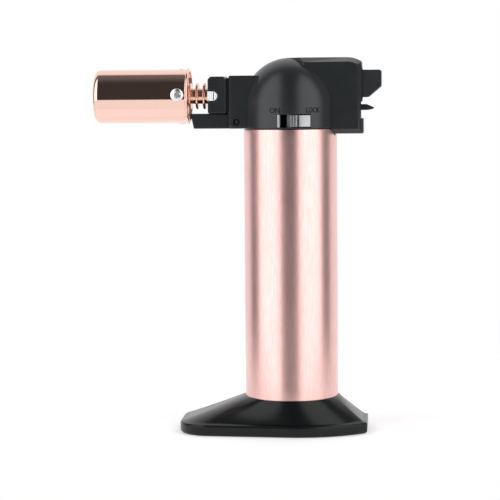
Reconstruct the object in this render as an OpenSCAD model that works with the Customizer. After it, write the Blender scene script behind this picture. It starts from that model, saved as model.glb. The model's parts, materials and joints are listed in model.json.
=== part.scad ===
// Butane torch for bench and jewellery work: a cased gas tank on a foot, with a
// clamshell head that holds the valve, the striker and the nozzle.
// Origin on the resting plane under the tank's axis, +Z up, the nozzle towards -X.

/* [Show] */
// Which sub-part to draw, or all of them

/* [Tank] */
// Outside radius of the metal sleeve
tank_r = 19; // [17:0.5:22]
// Wall of the metal sleeve
sleeve_wall = 1; // [0.6:0.1:1.6]
// Length of the metal sleeve
sleeve_len = 116.6; // [90:1:140]
// Wall of the gas reservoir inside the sleeve
reservoir_wall = 1.7; // [1.2:0.1:2.5]
// Radius of the reservoir's neck
neck_r = 7.5; // [7:0.1:8.5]

/* [Foot] */
// Height at which the sleeve and the reservoir stand in the foot
seat_z = 7; // [6:0.5:9]
// Height of the foot's upright edge
foot_edge = 4.4; // [3.5:0.1:6]
// Height of the collar around the sleeve
foot_collar_z = 14.3; // [12:0.1:18]
// Wall of the collar at its top
foot_collar_t = 0.6; // [0.4:0.1:2]
// Reach of the foot under the nozzle
foot_front = 45.5; // [40:0.5:54]
// Reach of the foot behind the tank
foot_rear = 31.2; // [29:0.2:34]
// Half width of the foot beside the tank
foot_half = 23; // [22:0.5:27]
// Radius of the foot's tapering rear sides
foot_taper_r = 42; // [40:1:60]
// Radius of the foot's front corners
foot_corner = 13; // [9:0.5:15]
// Half width of the foot at its front corners
foot_front_half = 20.5; // [18:0.5:22]
// Hollow of the slope between the foot's edge and its collar
foot_sag = 0.6; // [0:0.1:1]
// Wall of the hollow foot
foot_wall = 2.4; // [1.8:0.1:3]
// Radius of the well around the filling valve
well_r = 11.5; // [10:0.5:13]

/* [Head] */
// Wall of the head's shells
head_wall = 2; // [1.6:0.1:2.6]
// Height of the head's round skirt below the dome
skirt_h = 9.5; // [9.1:0.1:11.5]
// Half width of the flat sides
head_half = 9; // [8.6:0.1:10]
// Sideways size of the edge bevel
bevel_y = 2.4; // [1:0.1:2.8]
// Lengthwise and upright size of the edge bevel
bevel_z = 1.9; // [1:0.1:2.4]
// Reach of the head towards the trigger
head_rear = 29.4; // [28.6:0.1:32]
// Extra reach of the sill below the rear window
sill_out = 0.5; // [0.2:0.1:1]
// Radius of the upper rear corner
rear_round = 10.6; // [6:0.2:12]
// Drop of the rear block beside the sleeve
rear_drop = 2.3; // [1:0.1:3]
// Reach of the head towards the nozzle
head_front = 24.5; // [24:0.1:27]
// Height of the front block over the skirt's lower edge
front_h = 21.4; // [20.6:0.1:22.4]
// Edge bevel of the front block
front_bevel = 1; // [0.5:0.1:1.5]
// Reach of the chin under the neck block
chin_reach = 16.2; // [14:0.1:16.4]
// Height of the chin
chin_h = 6; // [5:0.1:6.4]
// Half width of the chin
chin_half = 6.4; // [5:0.1:7]
// Depth of the spigot that the head plugs into the sleeve
spigot_depth = 4.6; // [4:0.1:5.6]
// Thickness of the floor that is trapped on the reservoir's neck
floor_t = 2.2; // [1.8:0.1:3]
// Radius of the head screws
screw_r = 1.1; // [0.9:0.1:1.3]

/* [Rear window and flame ring] */
// Height of the window's sill over the skirt's lower edge
window_low = 3.8; // [3.4:0.1:4.3]
// Height of the window
window_h = 6.7; // [6:0.1:7]
// Height of the flame ring over the skirt's lower edge
ring_low = 7.1; // [6.5:0.1:7.7]
// Thickness of the flame ring and its lever
ring_t = 2.4; // [1.8:0.1:2.6]
// Reach of the flame lever
lever_reach = 34.1; // [32:0.1:38]
// Half width of the flame lever's tip
lever_half = 2.2; // [1.5:0.1:2.6]

/* [Lock slider] */
// Height of the slider's window over the skirt's lower edge
lock_low = 0.5; // [0.4:0.1:1]
// Height of the slider's window
lock_h = 5.2; // [4:0.1:5.6]
// Angle of the window's nozzle end
lock_from = -102.5; // [-110:0.5:-95]
// Angle of the window's trigger end
lock_to = -61.5; // [-66:0.5:-56]
// Angle that the slider's thumb piece takes
lock_span = 25; // [20:1:28]
// Reach of the thumb piece beyond the dome
lock_proud = 0.5; // [0.2:0.1:1]

/* [Nozzle] */
// Height of the nozzle's axis over the skirt's lower edge
nozzle_rise = 13.2; // [12.9:0.1:13.6]
// Distance of the shroud's back edge from the middle of the last fin
shroud_from = 0.1; // [0:0.1:2]
// Length of the shroud
shroud_len = 38.9; // [30:0.1:50]
// Outside radius of the shroud
shroud_r = 10.9; // [10:0.1:13]
// Wall of the shroud
shroud_wall = 0.8; // [0.5:0.1:1.2]
// Radius of the shroud's curled front edge
shroud_curl = 2.3; // [1.5:0.1:3]
// Lip that turns in at the shroud's mouth
mouth_lip = 0.6; // [0.3:0.1:1.2]
// Radius of the bead at the shroud's back edge
bead_r = 0.75; // [0.5:0.05:1]
// Distance of the shroud's screws from its back edge
shroud_screw_at = 4.2; // [4.1:0.1:5.6]
// Radius of a shroud screw's head
pan_r = 2.6; // [2:0.1:2.6]
// Radius of the burner tube
burner_r = 7.5; // [6:0.1:8]
// Wall of the burner tube
burner_wall = 0.7; // [0.5:0.1:1]
// Length of the burner tube
burner_len = 28.4; // [20:0.2:34]
// Radius of the cooling fins
fin_r = 5.35; // [4.6:0.05:6]
// Thickness of a cooling fin
fin_t = 0.95; // [0.6:0.05:1.2]
// Spacing of the cooling fins
fin_pitch = 2.95; // [2.4:0.05:3]
// Radius of the neck between the fins
core_r = 3.2; // [3.1:0.05:3.6]
// Distance of the first fin from the neck block
fin_from = 1.9; // [1.7:0.1:2.2]
// Length of the neck block
block_len = 7.45; // [6.8:0.05:7.6]
// Gap between the neck block and the head
block_gap = 1.15; // [0.6:0.05:1.3]
// Half width of the neck block
block_half = 7.6; // [6.5:0.1:8]
// Height of the neck block
block_h = 14.8; // [13.5:0.1:16]
// Radius of the cross lug in the neck block's slot
lug_r = 1.95; // [1.5:0.05:2.2]
// Distance of the lug's round end from the neck block's front face
lug_in = 2; // [1.6:0.1:2.6]
// Length of the lug's straight part
lug_len = 2.2; // [1.8:0.1:2.6]

/* [Valve and striker] */
// Radius of the outlet valve's neck, which the flame ring turns on
valve_neck_r = 5.5; // [5:0.1:6]
// Radius of the valve stem
stem_r = 1.5; // [1.2:0.1:1.7]
// Radius of the valve stem's collar
collar_r = 3.5; // [3:0.1:4]
// Travel of the trigger
travel = 4.5; // [3:0.1:5]
// Lift of the valve stem at full travel
lift = 1.5; // [1:0.1:1.6]
// Height of the piezo striker
piezo_h = 7.2; // [6:0.1:7.4]
// Half width of the piezo striker
piezo_half = 3.5; // [3:0.1:4]
// Length of the piezo striker
piezo_len = 22; // [18:0.5:22]
// Reach of the trigger beyond the head
trigger_out = 7.8; // [7:0.1:10]
// Height of the trigger's lower edge over the skirt's lower edge
trigger_low = 12.3; // [12.1:0.1:12.9]
// Height of the trigger
trigger_h = 11.1; // [9:0.1:11.6]
// Half width of the trigger
trigger_half = 6; // [4.5:0.1:6.2]
// Travel of the filling valve's stem
fill_travel = 1.6; // [1:0.1:2]

/* [Clearances] */
// Gap between seated pieces
seat_gap = 0.3; // [0.2:0.05:0.4]
// Radial clearance of a close fit
fit = 0.05; // [0.02:0.01:0.1]

/* [Hidden] */
$fn = 64;
big = 400;
foot_taper_x = 2;
foot_chamfer = 0.8;
foot_crease_in = 1.8;
foot_crease_z = foot_edge + 0.5;
tank_top = seat_z + sleeve_len;
bore_r = tank_r - sleeve_wall;
dome_r = tank_r;
head_z = tank_top + seat_gap;
dome_z = head_z + skirt_h;
dome_top = dome_z + dome_r;
floor_low = tank_top - spigot_depth;
floor_top = floor_low + floor_t;
reservoir_r = bore_r - seat_gap;
reservoir_top = floor_low - seat_gap;
neck_top = floor_top + seat_gap;
flange_t = 2.5;
valve_bore_r = 4.6;
ring_z = head_z + ring_low;
valve_top = ring_z + ring_t + 0.6;
rail_z = valve_top + seat_gap;
slope = lift / travel;
rail_in = stem_r + 0.6;
rail_out = rail_in + 2.1;
collar_z = rail_z + 0.8 + 2 * collar_r * slope + seat_gap;
stem_top = collar_z + 1.8;
piezo_z = stem_top + lift + seat_gap;
piezo_axis = piezo_z + piezo_h / 2;
piezo_x = -5;
piezo_end = piezo_x + piezo_len;
ramp_end = collar_r + travel + 0.3;
rail_top = rail_z + 0.8 + (ramp_end + collar_r) * slope;
carriage_x = piezo_end + travel + 1.5;
trigger_z = head_z + trigger_low;
spring_z = rail_z + 3.6;
spring_x = 7.8;
axis_z = head_z + nozzle_rise;
window_z = head_z + window_low;
lock_z = head_z + lock_low;
lock_inner = dome_r - head_wall - seat_gap;
chin_top = head_z + chin_h;
block_x = head_front + block_gap;
block_z = chin_top + seat_gap;
neck_end = block_x + block_len;
fin_x = neck_end + fin_from;
last_fin_x = fin_x + 2 * fin_pitch;
shroud_back = last_fin_x + shroud_from;
mount_x = shroud_back + 0.9;
mount_t = 1.2;
shroud_in = shroud_r - shroud_wall;
wire_z = axis_z + 1.5;
pipe_z = axis_z - 0.9;
pipe_r = 1.1;
jet_x = mount_x + mount_t + 1.4;
needle_z = axis_z + 4.3;
disc_t = 3;
disc_x = mount_x + mount_t + burner_len - disc_t - 0.5;
front_screw = [3.2 - head_front, head_z + 2.6];
top_screw = [3.9 - head_front, head_z + front_h - 3.5];
rear_screw = [head_rear - 4.1, head_z + 1];
ledge_z = head_z - 0.4;
lug_x = neck_end - lug_in;
fill_spring = fill_travel + 2.2;
fill_body_r = 4.5;
fill_stem_r = 1.2;
burner_in = burner_r - burner_wall;
neck_bore_r = core_r - 0.7;
shoulder_r = core_r + 1;
nut_r = core_r + 1.3;
nut_t = 1.2;
jet_r = 1.5;
jet_len = 5;
insulator_x = jet_x + jet_len + 1;
insulator_r = 1.2;
needle_r = 0.45;
plunger_r = 2.2;
screw_head_r = 2 * screw_r;
shroud_shank_r = 0.9;
shroud_turns = [3, 123, 243];
outlet_z = neck_top + flange_t + 2.5;
outlet_r = 1.1;
tube_r = 1.55;

// A cylinder along X from x0 to x1
module rod_x(r, x0, x1, z, y = 0)
    translate([min(x0, x1), y, z]) rotate([0, 90, 0]) cylinder(h = abs(x1 - x0), r = r);

// A cylinder along Y from y0 to y1
module rod_y(r, x, z, y0, y1)
    translate([x, y1, z]) rotate([90, 0, 0]) cylinder(h = y1 - y0, r = r);

// A flat outline of x and z, made solid from y0 to y1
module slab(y0, y1) translate([0, y1, 0]) rotate([90, 0, 0]) linear_extrude(y1 - y0) children();

// What it holds is turned so that its height runs along the nozzle, from x = -back
module nose(back) translate([-back, 0, axis_z]) rotate([0, -90, 0]) children();

// A bent rod along a line of x and z points, with each corner on a radius
function unit(a, b) = (b - a) / norm(b - a);
function side(a, b, c) = (b[0] - a[0]) * (c[1] - b[1]) - (b[1] - a[1]) * (c[0] - b[0]);
function turn(a, b, c) = acos(max(-1, min(1, unit(a, b) * unit(b, c))));
function cut(p, i, bend) =
    i == 0 || i == len(p) - 1 ? 0 : bend * tan(turn(p[i - 1], p[i], p[i + 1]) / 2);
module bent_rod(p, r, bend) rotate([90, 0, 0]) {
    for (i = [0 : len(p) - 2]) {
        u = unit(p[i], p[i + 1]);
        a = p[i] + u * cut(p, i, bend);
        b = p[i + 1] - u * cut(p, i + 1, bend);
        translate([a[0], a[1], 0]) rotate([0, 0, atan2(u[1], u[0])]) rotate([0, 90, 0])
            cylinder(h = norm(b - a), r = r);
    }
    for (i = [1 : len(p) - 2]) {
        u = unit(p[i - 1], p[i]);
        s = side(p[i - 1], p[i], p[i + 1]) > 0 ? 1 : -1;
        c = p[i] - u * cut(p, i, bend) + s * bend * [-u[1], u[0]];
        start = atan2(-s * u[0], s * u[1]);
        sweep = turn(p[i - 1], p[i], p[i + 1]);
        translate([c[0], c[1], 0]) rotate([0, 0, s > 0 ? start : start - sweep])
            rotate_extrude(angle = sweep) translate([bend, 0]) circle(r = r);
    }
}

// Points along an arc, from one angle to another
function arc(c, r, from, to, steps) =
    [for (k = [0 : steps]) let (q = from + (to - from) * k / steps) c + r * [cos(q), sin(q)]];

// Points on the straight line between two points, without its ends
function between(a, b, steps) = [for (k = [1 : steps - 1]) a + (b - a) * k / steps];

// A closed skin over rings of points that follow each other, with a fan over each end
function middle(ring) = [for (p = ring) 1] * ring / len(ring);
module skin(rings) {
    n = len(rings[0]);
    last = len(rings) - 1;
    c = n * len(rings);
    faces = [for (i = [0 : last - 1], k = [0 : n - 1])
        let (a = i * n + k, b = i * n + (k + 1) % n)
        each [[a, a + n, b + n], [a, b + n, b]]];
    ends = [for (k = [0 : n - 1]) let (b = (k + 1) % n)
        each [[c, k, b], [c + 1, last * n + b, last * n + k]]];
    polyhedron(points = concat([for (r = rings) each r], [middle(rings[0]), middle(rings[last])]),
        faces = concat(faces, ends));
}

// A coil spring along Z: a round wire swept along a helix
module coil(mid_r, wire_r, turns, length) {
    steps = 14 * turns;
    rise = length - 2 * wire_r;
    skin([for (i = [0 : steps]) let (a = 360 * i / 14) [for (q = [0 : 60 : 300])
        let (d = mid_r + wire_r * cos(q))
        [d * cos(a), d * sin(a), wire_r + rise * i / steps + wire_r * sin(q)]]]);
}

// A bent wire along a line of x and z points, with each corner on a radius
module wire(p, r, bend) {
    last = len(p) - 1;
    stops = [for (i = [0 : last])
        let (u = i == 0 ? unit(p[0], p[1]) : unit(p[i - 1], p[i]),
            a = atan2(u[1], u[0]),
            inner = i > 0 && i < last,
            sweep = inner ? turn(p[i - 1], p[i], p[i + 1]) : 0,
            s = inner && side(p[i - 1], p[i], p[i + 1]) < 0 ? -1 : 1,
            c = p[i] - u * cut(p, i, bend) + s * bend * [-u[1], u[0]])
        each [for (k = [0 : inner ? 4 : 0]) let (q = a + s * sweep * k / 4)
            [c - s * bend * [-sin(q), cos(q)], [-sin(q), cos(q)]]]];
    skin([for (t = stops) [for (q = [0 : 36 : 324])
        [t[0][0] + r * cos(q) * t[1][0], r * sin(q), t[0][1] + r * cos(q) * t[1][1]]]]);
}

// A ring about Z with square edges
module ring(outer, inner, z0, z1) translate([0, 0, z0]) difference() {
    cylinder(h = z1 - z0, r = outer);
    translate([0, 0, -1]) cylinder(h = z1 - z0 + 2, r = inner);
}

// The foot's outline, moved in by d: a lens behind, drawn out to two round front corners
function foot_outline(d) =
    let (a = [foot_taper_x, foot_half - foot_taper_r],
        b = [foot_corner - foot_front, foot_front_half - foot_corner],
        tangent = atan2(a[1] - b[1], a[0] - b[0])
            + acos((foot_corner - foot_taper_r) / norm(a - b)),
        rear = acos((foot_rear - d - a[0]) / (foot_taper_r - d)),
        behind = arc(a, foot_taper_r - d, rear, tangent, 12),
        corner = arc(b, foot_corner - d, tangent, 180, 10),
        half = concat(behind, between(behind[12], corner[0], 10), corner),
        last = half[len(half) - 1])
    concat(between([half[0][0], -half[0][1]], half[0], 6), half,
        between(last, [last[0], -last[1]], 4),
        [for (k = [len(half) - 1 : -1 : 0]) [half[k][0], -half[k][1]]]);

// The foot's outer skin: upright edge, crease, and straight lines up to the round collar
module foot_skin() {
    crease = foot_outline(foot_crease_in);
    slope = [for (t = [0 : 0.25 : 1]) [for (p = crease)
        let (q = p + t * ((tank_r + foot_collar_t) * p / norm(p) - p))
        [q[0], q[1], foot_crease_z + t * (foot_collar_z - foot_crease_z)
            - 4 * foot_sag * t * (1 - t)]]];
    skin(concat([for (e = [[foot_chamfer, 0], [0, foot_chamfer], [0, foot_edge]])
        [for (p = foot_outline(e[0])) [p[0], p[1], e[1]]]], slope));
}

// Foot: a hollow moulding that slopes up to a collar around the sleeve
module base_foot() color([0.03, 0.03, 0.03]) difference() {
    foot_skin();
    translate([0, 0, seat_z]) cylinder(h = big, r = tank_r + fit);
    translate([0, 0, -1]) cylinder(h = seat_z - 1.6, r = well_r);
    cylinder(h = seat_z + 1, r = 6.6);
    translate([0, 0, -1]) linear_extrude(foot_edge) difference() {
        polygon(foot_outline(foot_wall));
        circle(r = well_r + foot_wall);
        translate([-big / 2, -foot_wall / 2]) square([big, foot_wall]);
    }
}

// Metal sleeve around the reservoir
module tank_sleeve() color([0.86, 0.6, 0.54]) ring(tank_r, bore_r, seat_z, tank_top);

// Gas reservoir: a closed plastic bottle with a neck for the outlet valve
module fuel_reservoir() color([0.8, 0.8, 0.76, 0.8]) difference() {
    union() {
        translate([0, 0, seat_z]) cylinder(h = reservoir_top - seat_z, r = reservoir_r);
        translate([0, 0, seat_z]) cylinder(h = neck_top - seat_z, r = neck_r);
    }
    difference() {
        translate([0, 0, seat_z + 2]) cylinder(h = reservoir_top - seat_z - 5,
            r = reservoir_r - reservoir_wall);
        translate([0, 0, reservoir_top - 11]) cylinder(h = 12, r = neck_r);
    }
    translate([0, 0, reservoir_top - 12]) cylinder(h = 20, r = valve_bore_r + fit);
    translate([0, 0, seat_z - 1]) cylinder(h = 4, r = fill_body_r + fit);
}

// Filling valve: a brass body through the reservoir's floor
module fill_valve_body() color([0.75, 0.6, 0.28]) difference() {
    union() {
        translate([0, 0, seat_z - 4.8]) cylinder(h = 5, r = 3);
        translate([0, 0, seat_z - 1.4]) cylinder(h = 1.4, r = 6);
        translate([0, 0, seat_z - 1]) cylinder(h = fill_spring + 4.8, r = fill_body_r);
        translate([0, 0, seat_z + 2]) cylinder(h = 1.4, r = 6);
    }
    translate([0, 0, seat_z - 6]) cylinder(h = 8, r = fill_stem_r + fit);
    translate([0, 0, seat_z - 1]) cylinder(h = fill_spring + 3.2, r = 2.6);
    translate([0, 0, seat_z + fill_spring]) cylinder(h = 6, r = 0.8);
}

// Filling valve's stem, pressed upwards by the gas can
module fill_valve_stem() color([0.7, 0.7, 0.7]) {
    translate([0, 0, seat_z - 5.6]) cylinder(h = 6, r = fill_stem_r);
    translate([0, 0, seat_z + 0.4]) cylinder(h = 1.2, r = 2.1);
}

// Spring over the filling valve's stem
module fill_valve_spring() color([0.6, 0.6, 0.6])
    translate([0, 0, seat_z + 1.9]) coil(1.7, 0.28, 3, fill_spring);

// Seal under the filling stem's head
module fill_valve_seal() color([0.05, 0.05, 0.05])
    ring(2.3, fill_stem_r + fit, seat_z - 0.9, seat_z + 0.1);

// Outlet valve: flange, outlet spigot and the neck that carries the flame ring
module outlet_valve_body() color([0.75, 0.6, 0.28]) difference() {
    union() {
        translate([0, 0, reservoir_top - 9]) cylinder(h = 20, r = valve_bore_r);
        translate([0, 0, neck_top]) cylinder(h = flange_t, r = 9.4, $fn = 6);
        translate([0, 0, neck_top]) cylinder(h = ring_z - seat_gap - neck_top, r = 6.4);
        translate([0, 0, neck_top]) cylinder(h = valve_top - neck_top, r = valve_neck_r);
        rod_x(outlet_r, 0, -9.4, outlet_z);
    }
    translate([0, 0, reservoir_top - 10]) cylinder(h = 20, r = 0.8);
    translate([0, 0, reservoir_top - 2]) cylinder(h = valve_top - 4.6 - reservoir_top, r = 3);
    translate([0, 0, valve_top - 9]) cylinder(h = 11, r = stem_r + fit);
    translate([0, 0, valve_top - 2]) cylinder(h = 1.4, r = 2.6);
    rod_x(0.7, 0, -10, outlet_z);
}

// Valve stem, lifted by the trigger's ramps under its collar
module valve_stem() color([0.8, 0.8, 0.78]) {
    translate([0, 0, reservoir_top - 1.7]) cylinder(h = 1.6, r = 2.6);
    translate([0, 0, reservoir_top - 1]) cylinder(h = stem_top - reservoir_top + 1, r = stem_r);
    translate([0, 0, collar_z]) cylinder(h = 1.5, r = collar_r);
}

// Spring that closes the outlet valve
module valve_spring() color([0.6, 0.6, 0.6]) translate([0, 0, reservoir_top + 0.1])
    coil(2.2, 0.3, 5, valve_top - 6.9 - reservoir_top);

// Seal around the valve stem
module gland_seal() color([0.05, 0.05, 0.05])
    ring(2.5, stem_r + fit, valve_top - 1.9, valve_top - 0.7);

// Filter under the outlet valve
module gas_filter() color([0.8, 0.78, 0.7])
    translate([0, 0, reservoir_top - 11.6]) cylinder(h = 2.6, r = 3.8);

// Flame ring with its lever, turned about the valve's neck
module flame_ring() color([0.04, 0.04, 0.04]) {
    ring(7.7, valve_neck_r + fit, ring_z, ring_z + ring_t);
    slab(-1.6, 1.6) polygon([[7, ring_z], [head_rear - 2, ring_z],
        [head_rear - 2, ring_z + ring_t], [7, ring_z + ring_t]]);
    slab(-lever_half, lever_half) polygon([[head_rear - 3, ring_z],
        [lever_reach - 2.6, ring_z], [lever_reach - 0.6, ring_z + 0.35],
        [lever_reach, ring_z + 0.8], [lever_reach, ring_z + 1.1],
        [lever_reach - 3, ring_z + ring_t], [head_rear - 3, ring_z + ring_t]]);
}

// The head's dome and skirt as one turned form, moved in by d
module dome(d) rotate_extrude() intersection() {
    union() {
        translate([0, head_z + d]) square([dome_r - d, skirt_h - d]);
        translate([0, dome_z]) circle(r = dome_r - d);
    }
    translate([0, head_z + d]) square([big, big]);
}

// The rear block's side outline, moved in by d
module rear_outline(d) {
    r = rear_round - d;
    end = acos((head_rear - d - (head_rear - 6)) / r);
    polygon(concat([[4 + d, head_z - rear_drop + d], [head_rear - d, head_z - rear_drop + d]],
        [for (i = [0 : 6]) [head_rear - 6, dome_top - rear_round]
            + r * [cos(end + (90 - end) * i / 6), sin(end + (90 - end) * i / 6)]],
        [[4 + d, dome_top - d]]));
}

// The rear block: flat sides with a bevelled edge all round, easing out of the dome
module rear_block() hull() {
    slab(bevel_y - head_half, head_half - bevel_y) rear_outline(0);
    slab(-head_half, head_half) rear_outline(bevel_z);
    translate([-1.5, -2, head_z]) cube([1, 4, dome_top - head_z - 0.12]);
}

// The sill of the rear block, which reaches a little further back under the window
module rear_sill() hull() {
    slab(bevel_y - head_half, head_half - bevel_y)
        translate([head_rear - 9, head_z - rear_drop])
        square([9 + sill_out, window_low + rear_drop]);
    slab(-head_half, head_half) translate([head_rear - 8, head_z - rear_drop + bevel_z])
        square([8 + sill_out - bevel_z, window_low + rear_drop - bevel_z]);
}

// The front block: flat sides in line with the rear's, with a small edge bevel
module front_block() hull() {
    slab(front_bevel - head_half, head_half - front_bevel)
        translate([-head_front, head_z]) square([head_front, front_h]);
    slab(-head_half, head_half) translate([front_bevel - head_front, head_z + front_bevel])
        square([head_front - front_bevel, front_h - front_bevel]);
}

// The chin that carries the neck block from below
module chin() {
    end = -head_front - chin_reach;
    slab(-chin_half, chin_half) polygon([[1 - head_front, head_z], [end + 1.7, head_z],
        [end + 0.9, chin_top - 2.1], [end, chin_top - 2.1], [end, chin_top],
        [1 - head_front, chin_top]]);
}

// Both shells' outer form, with the step that clears the sleeve
module head_form() difference() {
    union() {
        dome(0);
        rear_block();
        rear_sill();
        front_block();
        chin();
    }
    translate([0, 0, head_z - 20]) cylinder(h = 20, r = tank_r + seat_gap);
}

// The space inside both shells
module head_space() {
    w = head_wall;
    dome(w);
    translate([0, w - head_half, head_z + 1])
        cube([head_rear - w, 2 * (head_half - w), dome_top - w - 1 - head_z]);
    translate([w - head_front, w - head_half, head_z + w])
        cube([head_front, 2 * (head_half - w), front_h - 2 * w]);
    translate([0, 0, floor_top]) cylinder(h = 10, r = 16);
    translate([0, 0, ledge_z]) cylinder(h = 6, r = dome_r - w);
}

// A boss for a head screw, from the near skin to the far skin
module boss(at) rod_y(screw_r + 1.2, at[0], at[1], 0.4 - head_half, head_half - 0.4);

// Ribs that hold the striker and the trigger's spring, clear of the sliding rails
module head_ribs() {
    for (x = [7, 14]) difference() {
        translate([x, -head_half + 1, rail_top + seat_gap])
            cube([1.2, 2 * head_half - 2, dome_top - 1.5 - rail_top]);
        translate([x - 1, -piezo_half - fit, piezo_z - fit])
            cube([4, 2 * (piezo_half + fit), piezo_h + 2 * fit]);
    }
    translate([spring_x - 1.6, -1.5, spring_z - 1.6]) cube([1.6, 3, 4]);
    translate([spring_x - 1.6, -4, rail_top + seat_gap]) cube([1.6, 8, 0.9]);
}

// Both shells as one, before they are parted: skin, spigot, floor, bosses and ribs
module head_solid() difference() {
    union() {
        difference() {
            union() {
                head_form();
                translate([0, 0, floor_low]) cylinder(h = 8, r = bore_r - fit);
            }
            head_space();
        }
        intersection() {
            union() {
                boss(front_screw);
                boss(top_screw);
                boss(rear_screw);
                head_ribs();
            }
            head_form();
        }
    }
    translate([0, 0, floor_low - 1]) cylinder(h = 8, r = neck_r + seat_gap);
    for (at = [front_screw, top_screw, rear_screw]) {
        rod_y(screw_r + fit, at[0], at[1], 1.8 - head_half, head_half + 1);
        rod_y(screw_head_r + 0.2, at[0], at[1], head_half - 2, head_half + 1);
    }
    rod_y(1.5, front_screw[0], front_screw[1], -head_half - 1, 0.9 - head_half);
    rod_x(4.2, -head_front - 1, 3 - head_front, axis_z);
    rod_x(4.8, 1.2 - head_front, 3 - head_front, axis_z);
    translate([head_rear - 0.7, -head_half - 1, window_z])
        cube([2, 2 * head_half + 2, window_h]);
    translate([head_rear - 5, head_wall - head_half, window_z])
        cube([8, 2 * (head_half - head_wall), window_h]);
    translate([head_rear - 5, -trigger_half - seat_gap, trigger_z - seat_gap])
        cube([8, 2 * (trigger_half + seat_gap), trigger_h + 2 * seat_gap]);
    rotate([0, 0, lock_from]) translate([0, 0, lock_z])
        rotate_extrude(angle = lock_to - lock_from)
        translate([dome_r - head_wall - 1, 0]) square([head_wall + 3, lock_h]);
}

// Near half of the head, on the side of the lock slider
module head_shell_near() color([0.06, 0.065, 0.07]) intersection() {
    head_solid();
    translate([-60, -60, 0]) cube([120, 60, big]);
}

// Far half of the head, which takes the screws' heads
module head_shell_far() color([0.06, 0.065, 0.07]) intersection() {
    head_solid();
    translate([-60, 0, 0]) cube([120, 60, big]);
}

// A pan screw along -Z: head on top, a cross recess, the shank below
module screw(head_r, head_h, shank, length, recess) difference() {
    union() {
        cylinder(h = head_h, r = head_r, $fn = 32);
        translate([0, 0, -length]) cylinder(h = length, r = shank, $fn = 24);
    }
    for (a = [0, 90]) rotate([0, 0, a])
        translate([-head_r * 0.6, -head_r * 0.12, head_h - recess])
        cube([head_r * 1.2, head_r * 0.24, recess + 1]);
}

// A screw through the head from its far side
module head_screw(at) color([0.2, 0.2, 0.2])
    translate([at[0], head_half - 1.95, at[1]]) rotate([-90, 0, 0])
    screw(screw_head_r, 1.5, screw_r, 2 * head_half - 4, 0.8);
module head_screw_front_low() head_screw(front_screw);
module head_screw_front_top() head_screw(top_screw);
module head_screw_rear_low() head_screw(rear_screw);

// Neck block: clamps the nozzle's neck in front of the head, with an open slot each side
module neck_block() color([0.05, 0.05, 0.055]) difference() {
    union() {
        slab(-block_half, block_half) polygon([[-neck_end, block_z],
            [-block_x, block_z], [-block_x, block_z + block_h - 1.2],
            [-block_x - 0.9, block_z + block_h], [1.1 - neck_end, block_z + block_h],
            [-neck_end, block_z + block_h - 1.1]]);
        rod_x(4.1, -block_x - 1, 1.5 - head_front, axis_z);
        rod_x(4.7, 1.5 - head_front, 2.7 - head_front, axis_z);
    }
    rod_x(core_r + fit, -neck_end - 1, 0, axis_z);
    slab(-block_half - 1, block_half + 1) union() {
        translate([-lug_x, axis_z]) circle(r = lug_r + seat_gap);
        translate([-neck_end - 1, axis_z - lug_r - seat_gap])
            square([lug_in + 1, 2 * (lug_r + seat_gap)]);
    }
}

// Cross lug on the neck, which shows in the neck block's slot
module neck_lug() color([0.8, 0.8, 0.8]) difference() {
    slab(0.3 - block_half, block_half - 0.3) union() {
        translate([-lug_x, axis_z]) circle(r = lug_r);
        translate([-lug_x - lug_len, axis_z - lug_r]) square([lug_len, 2 * lug_r]);
    }
    rod_x(core_r + fit, -neck_end - 1, 0, axis_z);
}

// A flat part of a ring, from one angle over a span
module sector(from, span, r0, r1) difference() {
    intersection() {
        circle(r = r1, $fn = 128);
        polygon([[0, 0], for (k = [0 : 2]) 2 * r1 * [cos(from + span * k / 2),
            sin(from + span * k / 2)]]);
    }
    circle(r = r0, $fn = 128);
}

// A part of a ring about Z, from z0 to z1
module arc_bar(from, span, r0, r1, z0, z1)
    translate([0, 0, z0]) linear_extrude(z1 - z0) sector(from, span, r0, r1);

// Lock slider: a plate behind the skin that carries a ribbed thumb piece in the window
module lock_slider() color([0.8, 0.8, 0.8]) {
    z0 = lock_z + seat_gap;
    thumb = lock_to - 0.8 - lock_span;
    rim = dome_r + lock_proud;
    arc_bar(thumb - 4, lock_span + 9, lock_inner - 1.1, lock_inner, ledge_z + seat_gap,
        lock_z + lock_h + 1.3);
    translate([0, 0, z0]) linear_extrude(lock_h - 2 * seat_gap) {
        sector(thumb, lock_span * 0.6, lock_inner - 0.5, dome_r - 0.6);
        sector(thumb + lock_span * 0.44, lock_span * 0.56, lock_inner - 0.5, rim);
        for (i = [0 : 2]) sector(thumb + lock_span * (0.01 + 0.125 * i), lock_span * 0.08,
            lock_inner - 0.5, rim);
    }
    arc_bar(thumb + lock_span * 0.45, lock_span * 0.1, lock_inner - 4, lock_inner - 0.4,
        lock_z + 1.5, lock_z + 3.5);
}

// Nickel strip that lines the window's nozzle end
module lock_guide() color([0.85, 0.85, 0.85])
    arc_bar(lock_from + 0.1, 3.3, lock_inner + seat_gap, dome_r + 0.1, lock_z + 0.05,
        lock_z + lock_h - 0.05);

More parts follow.
